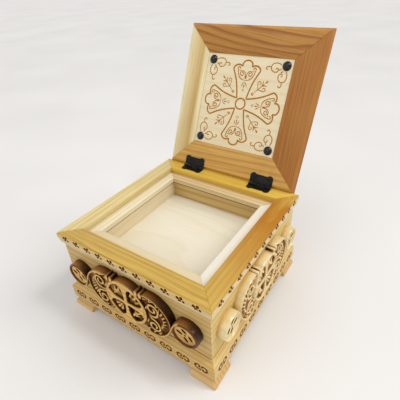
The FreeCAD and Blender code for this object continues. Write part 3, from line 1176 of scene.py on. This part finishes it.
    def parts(self, slot_finish: Material) -> list[Mesh]:
        """All meshes of one carving in its drawing plane, their faces sorted by finish.

        Args:
            slot_finish: the material of the rosettes' slots.

        Returns:
            The meshes, in their places on the plane.
        """
        halo = ring((0, 0), self.medallion_radius - self.ring_width / 2, self.ring_width)
        made = [
            self.plate(0, self.medallion_radius - self.ground_inset, self.ground),
            ribs([halo], self.full_height, self.ring_round),
        ]
        disc_inner = self.disc_radius - self.disc_edge / 2
        disc_face = Matrix.Translation((0, 0, self.disc_ground * MM))
        rim_radius = self.lobe_radius - self.rim_width / 2
        rim = Stroke(arc((self.lobe_offset, 0), rim_radius, -60, 182), self.rim_width)
        lobe_inner = self.lobe_radius - self.ground_inset
        sprigs = [leaf.turned(90 * i) for i in range(4) for leaf in self.sprig()]
        scrolls, leaves, rims, bands, edges = [], [], [], [], []
        for hand, turn in ((1, 0), (-1, 180)):
            scrolls += [s.turned(turn) for s in self.lobe_scroll()]
            leaves += [s.turned(turn) for s in self.lobe_leaves()]
            rims.append(rim.turned(turn))
            bands.append(self.ribbon().turned(turn))
            made.append(self.plate(hand * self.lobe_offset, lobe_inner, self.lobe_ground))
            across = hand * self.disc_offset
            edges.append(ring((across, 0), disc_inner, self.disc_edge))
            slots = [s.turned(0, (across, 0)) for s in self.rosette()]
            disc = self.plate(across, disc_inner, self.disc_ground)
            made.append(incised(disc, slots, self.slot_depth, disc_face, slot_finish))
            made += [self.collar_block(hand * place) for place in self.collar_places]
        made.append(ribs(rims, self.rim_height, self.rim_height - self.lobe_ground))
        made.append(ribs(bands, self.full_height, self.round_over))
        inside = [
            cut_out(self.cross(), self.medallion_height, self.cross_edge),
            ribs(sprigs, self.sprig_height, self.sprig_round),
            ribs(scrolls, self.scroll_height),
            ribs(leaves, self.leaf_height),
        ]
        for mesh in made:
            self.sort_faces(mesh, Finish.FACE, False)
        for mesh in inside:
            self.sort_faces(mesh, Finish.FACE, True)
        disc_edges = ribs(edges, self.edge_height, self.edge_round)
        self.sort_faces(disc_edges, Finish.DISC_RIM, False)
        return made + inside + [disc_edges]

    def sort_faces(self, mesh: Mesh, crests: Finish, inside: bool) -> None:
        """Number a mesh's faces by finish.

        Args:
            mesh: the mesh, on the drawing plane; cut faces already have a number.
            crests: the finish of what faces outwards, and on a disc's rim of its inner walls too.
            inside: whether the whole mesh lies inside a rim.
        """
        rounds = [(0.0, self.medallion_radius)]
        rounds += [(hand * self.lobe_offset, self.lobe_radius) for hand in (1, -1)]
        rounds += [(hand * self.disc_offset, self.disc_radius) for hand in (1, -1)]
        recess = Finish.RECESS if crests is Finish.FACE else crests
        for face in mesh.polygons:
            if face.material_index:
                face.material_index = Finish.SLOT
            elif abs(face.normal.z) <= self.crest_slope:
                spokes = [(face.center.xy - Vector((across * MM, 0)), radius) for across, radius in rounds]
                spoke, _ = min(spokes, key=lambda pair: abs(pair[0].length - pair[1] * MM))
                face.material_index = recess if inside or face.normal.xy.dot(spoke) < 0 else Finish.WALL
            else:
                face.material_index = crests

    def woods(self, side: Side) -> tuple[Wood, Wood, Wood, Wood]:
        """The finishes of one carving, darkened on its deep grounds and walls by painted shade, and on the
        front and left by scorch as well.

        Args:
            side: the carving's side of the box.

        Returns:
            The woods of what faces outwards, the outer walls, the walls inside a rim and the discs' rims.
        """
        # Each finish darkens with depth: scorch with painted shade on the front and left, painted shade alone
        # in the recesses and at the walls' foot on the honey sides
        face = Wood(
            "carved_limewood_" + side.word, "E4BC72", "BE8840", "D0A050", side.grain, roughness=0.4,
            gloss=0.08, coat=0.03, start_mm=(13.0, 77.0, 45.0 + 9 * side.value),
            toast=ScorchAndShade(side, 8.4, 6.8, 4.0, colour="5E300C", deep_colour="241004"),
        )
        if side in self.honey:
            face = face.toned(
                "F0DCAC", "CCA458", "DDBB76", name="honey_carved_limewood_" + side.word,
                toast=ScorchAndShade(side, 8.3, 6.3, 4.0, colour="A4681C", deep_colour="3E2008"),
            )
            wall = face.toned(
                "ECDAA8", "D4B26A", "DDBE78", name="honey_carving_wall_" + side.word, ring_share=0.3,
                roughness=0.18, gloss=0.5, coat=0.9,
                toast=ScorchAndShade(side, 5.4, -0.4, -2.0, colour="CFA052", deep_colour="7A4512"),
            )
            recess = replace(
                wall, name="honey_carving_recess_" + side.word, roughness=0.4, coat=0.1, gloss=0.2,
                toast=ScorchAndShade(side, 10.3, 7.9, 4.9, colour="9A621A", deep_colour="3A1D08"),
            )
            return face, wall, recess, wall
        # Scorched walls, with painted shade deeper down and on the walls that face across the side
        wall = replace(
            face, name="scorched_shaded_carving_wall_" + side.word, roughness=0.24, gloss=0.2, coat=0.2,
            toast=ScorchAndShade(side, 11.0, 7.4, 0.8, colour="94602A", deep_colour="4E290C", slope_shade_colour="2A1406"),
        )
        # Walls inside a rim: scorched, with painted shade deepening into the recess
        recess = replace(
            wall, name="scorched_shaded_carving_recess_" + side.word, gloss=0.15, coat=0.12,
            toast=ScorchAndShade(side, 10.7, 8.7, 5.1, colour="4A280B", deep_colour="1E0D04"),
        )
        rim = wall.toned(
            "70390F", "4C2609", "5E300C", name="scorched_disc_rim_" + side.word, roughness=0.3, gloss=0.1,
            coat=0.25, toast=None,
        )
        return face, wall, recess, rim

    def build(self) -> None:
        """Make one carving for each side."""
        slot = BurntCut("scorched_rosette_slot", "3E2009", "5E3412").material()
        for side in Side:
            face, wall, recess, rim = (wood.material() for wood in self.woods(side))
            mesh = joined(self.parts(slot))
            if side in (Side.RIGHT, Side.LEFT):
                # These two run the other way round, so that neighbours meet as a pair at each corner
                mesh.transform(Matrix.Diagonal((-1, 1, 1, 1)))
                mesh.flip_normals()
            mesh.transform(side.turn @ on_front(WALL_FACE, self.middle))
            for finish in (face, wall, slot, recess, rim):
                mesh.materials.append(finish)
            set_piece("side_carving_" + side.word, mesh, "box", "carving_" + side.word)


@dataclass
class Lid:
    """Framed lid: four mitred rails, an engraved inner panel, a top board and dome screws."""

    edge: float = 0.5
    tight_edge: float = 0.1
    panel_edge: float = 0.15
    panel_level: float = 118.2
    panel_crease: float = 4.0
    groove_depth: float = 0.3
    heavy: float = 1.95
    fine: float = 1.25
    hub_radius: float = 6.6
    dome_radius: float = 5.5
    dome_height: float = 3.6
    dome_place: float = 49.8
    dome_lip: float = 0.35
    dome_crease: float = 50.0
    dome_steps: int = 9
    shank_radius: float = 1.4
    shank_length: float = 6.0

    def rail_wood(self, side: Side) -> Wood:
        """The finish of one rail, its grain along the rail.

        Args:
            side: the rail's side of the lid.

        Returns:
            The finish.
        """
        wood = Wood(
            "lid_cherry_" + side.word, "C08A44", "8A5322", "A8702F", side.grain, ring_mm=9.0,
            ring_share=0.85, wander=13.0, stretch=0.2, slant=-8.0, pore="5E3010", pore_share=0.4,
            streak_mm=1.8, streak_share=0.4, leaning=True, start_mm=(40.0, 60.0, -70.0), roughness=0.4,
            coat=0.15,
        )
        if side is Side.BACK:
            return wood.toned(
                "D4A654", "9A6429", "BC8840", ring_mm=6.5, ring_share=0.5, wander=11.0, stretch=0.06,
                slant=1.5,
            )
        if side is Side.RIGHT:
            return wood.toned(
                "B07434", "86501F", "B8823C", ring_mm=2.2, ring_share=0.45, patch_share=0.6, wander=9.0,
                stretch=0.05, slant=1.0,
            )
        if side is Side.LEFT:
            # One wide ring: pale at the outer edge, golden towards the panel
            return wood.toned(
                "ECE1B6", "B98C34", "DDC88C", ring_mm=50.0, wander=2.0, stretch=0.05, slant=0.0,
                pore="A8823C", start_mm=(40.0, -158.0, -43.0),
            )
        return wood

    def arm(self) -> list[Stroke]:
        """Outline and scrolls of the cross's upper arm.

        Returns:
            The arm's strokes.
        """
        heavy, fine = self.heavy, self.fine
        curl = arc((10.4, 42.4), 1.9, -10, 250, 1.0)
        halves = [
            Stroke(((6.4, 6.4), (8.4, 16.0), (11.6, 27.0), (18.6, 41.6)), heavy),
            Stroke(((18.6, 41.6), (15.6, 45.4), (10.6, 46.6), (6.6, 45.0)), heavy),
            Stroke(((0.0, 28.4), (6.4, 30.2), (10.2, 35.0), (11.8, 40.0)) + curl, fine, 0.6),
            Stroke(((1.0, 33.4), (1.2, 36.4)) + arc((5.4, 36.2), 3.5, 140, -450, 1.0), fine, 0.6),
            Stroke(((7.4, 39.9), (10.4, 39.7)), fine, 0.6),
            Stroke(((0.0, 26.6), (2.6, 23.6), (3.4, 20.8)), fine, 0.5),
        ]
        return halves + [s.mirrored() for s in halves] + [
            Stroke(((-6.6, 45.0), (-6.0, 49.2), (0.0, 52.2), (6.0, 49.2), (6.6, 45.0)), heavy),
            drop((0.0, 32.4), 4.2, 2.6, 90),
            drop((0.0, 22.0), 4.4, 1.5, 90),
            Stroke(arc((0.0, 17.0), 1.3, 90, 340), 0.7, 0.8),
        ]

    def corner(self) -> list[Stroke]:
        """C-scrolls beside the dome at the panel's upper right corner, alike about its diagonal.

        Returns:
            The corner's strokes.
        """
        scroll = (
            (43.6, 50.4), (40.9, 51.7), (36.5, 52.2), (32.2, 50.3), (31.0, 46.8), (32.6, 43.6), (35.8, 41.9),
            (39.0, 42.3), (40.4, 44.4), (39.2, 46.4), (37.2, 46.0),
        )
        halves = [
            Stroke(scroll, self.fine, 0.8),
            Stroke(((31.0, 47.0), (28.6, 47.7), (26.2, 47.2), (25.0, 45.4), (26.2, 44.0)), self.fine, 0.8),
            Stroke(((26.2, 44.4), (26.7, 43.9)), 1.8),
            Stroke(((37.2, 45.7), (37.8, 45.3)), 1.9),
            drop((42.4, 45.2), 3.0, 1.5, 40),
        ]
        return halves + [s.swapped() for s in halves]

    def sprig(self) -> list[Stroke]:
        """Plain leaf sprig between two arms of the cross, alike about the diagonal.

        Returns:
            The sprig's strokes.
        """
        halves = [
            Stroke(((19.4, 19.4), (25.0, 18.6)) + arc((27.2, 20.6), 2.4, -80, 260, 1.2), 1.1, 0.6),
            Stroke(((23.0, 23.0), (26.4, 25.0), (30.6, 24.6)), 1.5, 0.4),
        ]
        stem = [
            Stroke(((15.0, 15.0), (21.0, 21.0), (28.0, 28.0)), 1.2, 0.5),
            drop((29.6, 29.6), 4.2, 2.0, 45),
            Stroke(arc((13.6, 13.6), 1.2, 45, 340), self.fine),
        ]
        return stem + halves + [s.swapped() for s in halves]

    def drawing(self) -> list[Stroke]:
        """The whole engraving of the panel.

        Returns:
            Its strokes, the hub first.
        """
        hub = ring((0, 0), self.hub_radius, self.heavy)
        quarter = self.arm() + self.corner() + self.sprig()
        return [hub] + [s.turned(90 * i) for i in range(4) for s in quarter]

    def build(self) -> None:
        """Ease the rails, engrave the panel and set the dome screws."""
        for side in Side:
            node = "lid_rail_" + side.word
            edge = self.tight_edge if side is Side.BACK else self.edge
            finish = self.rail_wood(side).material()
            eased_piece("lid_frame_rail_" + side.word, node, edge, finish, "lid")
        panel_wood = Wood(
            "birch_ply_panel", "EBDDBB", "DFCB9F", "E4D2AB", ring_mm=14.0, ring_share=0.5, wander=10.0,
            leaning=True, pore="C9AE7C", pore_share=0.2, roughness=0.5, coat=0.05,
        )
        panel = mesh_of(eased("lid_panel", self.panel_edge))
        panel.materials.append(panel_wood.material())
        underside = Matrix.Translation((0, 0, self.panel_level * MM)) @ Matrix.Diagonal((1, -1, -1, 1))
        face = SWING.matrix @ underside
        line = BurntCut("laser_engraved_line", "A87028", "C08C3E").material()
        panel = incised(panel, self.drawing(), self.groove_depth, face, line)
        set_piece("engraved_panel", panel, "lid", "lid_panel", self.panel_crease)
        board_wood = Wood(
            "lid_cherry_top", "BD8444", "94592A", "A86C35", ring_mm=13.0, ring_share=0.5, wander=18.0,
            stretch=0.12, pore="6A3A16", pore_share=0.3, leaning=True, start_mm=(20.0, 15.0, -90.0),
        )
        eased_piece("lid_crown_board", "lid_top_board", self.edge, board_wood.material(), "lid")
        self.build_domes(face)

    def dome(self) -> Mesh:
        """Spin one dome screw about its axis.

        Returns:
            The screw, its head's foot on the drawing plane.
        """
        sphere = (self.dome_radius ** 2 + self.dome_height ** 2) / (2 * self.dome_height)
        profile = [
            (0.0, -self.shank_length), (self.shank_radius, -self.shank_length), (self.shank_radius, 0.0),
            (self.dome_radius, 0.0), (self.dome_radius, self.dome_lip),
        ]
        low = math.acos((sphere - self.dome_height + self.dome_lip) / sphere)
        for step in range(1, self.dome_steps + 1):
            angle = low * (1 - step / self.dome_steps)
            profile.append((sphere * math.sin(angle), sphere * math.cos(angle) - sphere + self.dome_height))
        bm = bmesh.new()
        knots = [bm.verts.new(Vector((out, 0, up)) * MM) for out, up in profile]
        edges = [bm.edges.new(pair) for pair in zip(knots, knots[1:])]
        bmesh.ops.spin(
            bm, geom=knots + edges, cent=(0, 0, 0), axis=(0, 0, 1), angle=math.tau, steps=DOME_SPOKES,
            use_merge=True,
        )
        close_up(bm)
        return mesh_of(bm)

    def build_domes(self, face: Matrix) -> None:
        """Set the four dome screws at the panel's corners.

        Args:
            face: the panel's drawing plane.
        """
        domes = []
        for x in (-self.dome_place, self.dome_place):
            for y in (-self.dome_place, self.dome_place):
                domes.append(self.dome())
                domes[-1].transform(face @ Matrix.Translation(Vector((x, y, 0)) * MM))
        mesh = joined(domes)
        enamel = BlackEnamel("black_enamel_dome", roughness=0.08, gloss=0.35, coat=0.2)
        mesh.materials.append(enamel.material())
        set_piece("dome_screws", mesh, "lid", "panel_screws", self.dome_crease)


@dataclass
class Hinges:
    """Two black surface hinges with their pins and screws."""

    edge: float = 0.18
    hands: tuple[str, str] = ("left", "right")
    bodies: tuple[str, str] = ("box", "lid")

    def build(self) -> None:
        """Ease the leaves and screws and give them black enamel."""
        enamel = BlackEnamel("black_enamel_hinge", roughness=0.4, gloss=0.2, coat=0.05).material()
        parts = [(f"hinge_leaf_{body}_{hand}", body) for body in self.bodies for hand in self.hands]
        parts += [(f"hinge_screws_{body}", body) for body in self.bodies]
        for part, body in parts:
            eased_piece("enamelled_" + part, part, self.edge, enamel, body)
        for hand in self.hands:
            dress_node("hinge_pin_" + hand, enamel)


@dataclass
class Studio:
    """Pale floor, soft light and the camera."""

    eye: Place = (0.19646, -0.24504, 0.34326)
    azimuth: float = 35.179
    elevation: float = 34.169
    roll: float = -2.925
    lens: float = 30.43
    sensor_width: float = 36.0
    nearest: float = 0.01
    floor_size: float = 8.0
    floor_tone_mm: float = 300.0
    sky_strength: float = 0.62
    box_middle: Place = (0.0, 0.0, 0.12)

    def build(self) -> None:
        """Lay the floor, hang the lights and set the camera."""
        self.floor()
        self.light("window", place=(0.8, 0.46, 0.86), spread=30.0, strength=0.95, colour="FFFDF8")
        self.light("reflector", place=(-0.15, -0.8, 0.75), spread=70.0, strength=0.65, colour="FFFFFF")
        self.softbox(place=(0.38, 0.12, 1.0), size=0.14, watts=1.7)
        bpy.context.scene.view_settings.view_transform = "Standard"
        world = bpy.data.worlds.new("soft_room")
        bpy.context.scene.world = world
        world.use_nodes = True
        tree = world.node_tree
        tree.nodes.clear()
        sky = add_node(tree, "Background", {"Color": linear("FFFFFF"), "Strength": self.sky_strength})
        add_node(tree, "OutputWorld", {"Surface": sky.outputs["Background"]})
        self.camera()

    def floor(self) -> None:
        """A wide pale sheet under the box."""
        bm = bmesh.new()
        bmesh.ops.create_grid(bm, x_segments=1, y_segments=1, size=self.floor_size)
        sheet = add_object("floor", mesh_of(bm))
        material, tree, where = new_material("pale_paper_floor")
        cloud = noise(tree, where, self.floor_tone_mm, detail=1.0)
        tone = ramp(tree, cloud, [(0.3, "E7E5E3"), (0.7, "EDEBE9")])
        close_material(tree, {"Base Color": tone, "Roughness": 0.9})
        sheet.data.materials.append(material)

    def hang(self, lamp: Light, place: Place, target: Place) -> None:
        """Hang a lamp so that it faces a target.

        Args:
            lamp: the lamp.
            place: where it hangs, in metres.
            target: what it faces, in metres.
        """
        holder = add_object(lamp.name, lamp)
        holder.location = place
        holder.rotation_euler = (Vector(place) - Vector(target)).to_track_quat("Z", "Y").to_euler()

    def light(self, name: str, place: Place, spread: float, strength: float, colour: str) -> None:
        """Hang a broad, far and even light that faces the box.

        Args:
            name: the light's name.
            place: the side that it shines from.
            spread: how wide it looks from the box, in degrees.
            strength: its strength.
            colour: its colour, as sRGB hex.
        """
        lamp = bpy.data.lights.new(name, "SUN")
        lamp.angle = math.radians(spread)
        lamp.energy = strength
        lamp.color = linear(colour)[:3]
        self.hang(lamp, place, (0.0, 0.0, 0.0))

    def softbox(self, place: Place, size: float, watts: float) -> None:
        """Hang a small square lamp near the box, for crisp highlights.

        Args:
            place: where it hangs, in metres.
            size: its side, in metres.
            watts: its power.
        """
        lamp = bpy.data.lights.new("softbox", "AREA")
        lamp.shape = "SQUARE"
        lamp.size = size
        lamp.energy = watts
        self.hang(lamp, place, self.box_middle)

    def camera(self) -> None:
        """Set the camera at the photograph's viewpoint."""
        place = Matrix.Translation(self.eye)
        for degrees, axis in ((self.azimuth, "Z"), (90 - self.elevation, "X"), (self.roll, "Z")):
            place @= Matrix.Rotation(math.radians(degrees), 4, axis)
        lens = bpy.data.cameras.new("camera")
        lens.lens = self.lens
        lens.sensor_width = self.sensor_width
        lens.clip_start = self.nearest
        eye = add_object("camera", lens)
        eye.matrix_world = place
        bpy.context.scene.camera = eye


def main() -> None:
    """Build the studio and every sub-assembly, and log each as it is done."""
    logging.basicConfig(level=logging.INFO, format="%(name)s: %(message)s")
    for assembly in (Studio(), BoxBoards(), Mouldings(), SideCarvings(), Lid(), Hinges()):
        assembly.build()
        log.info("%s done", type(assembly).__name__)


if __name__ == "__main__":
    main()
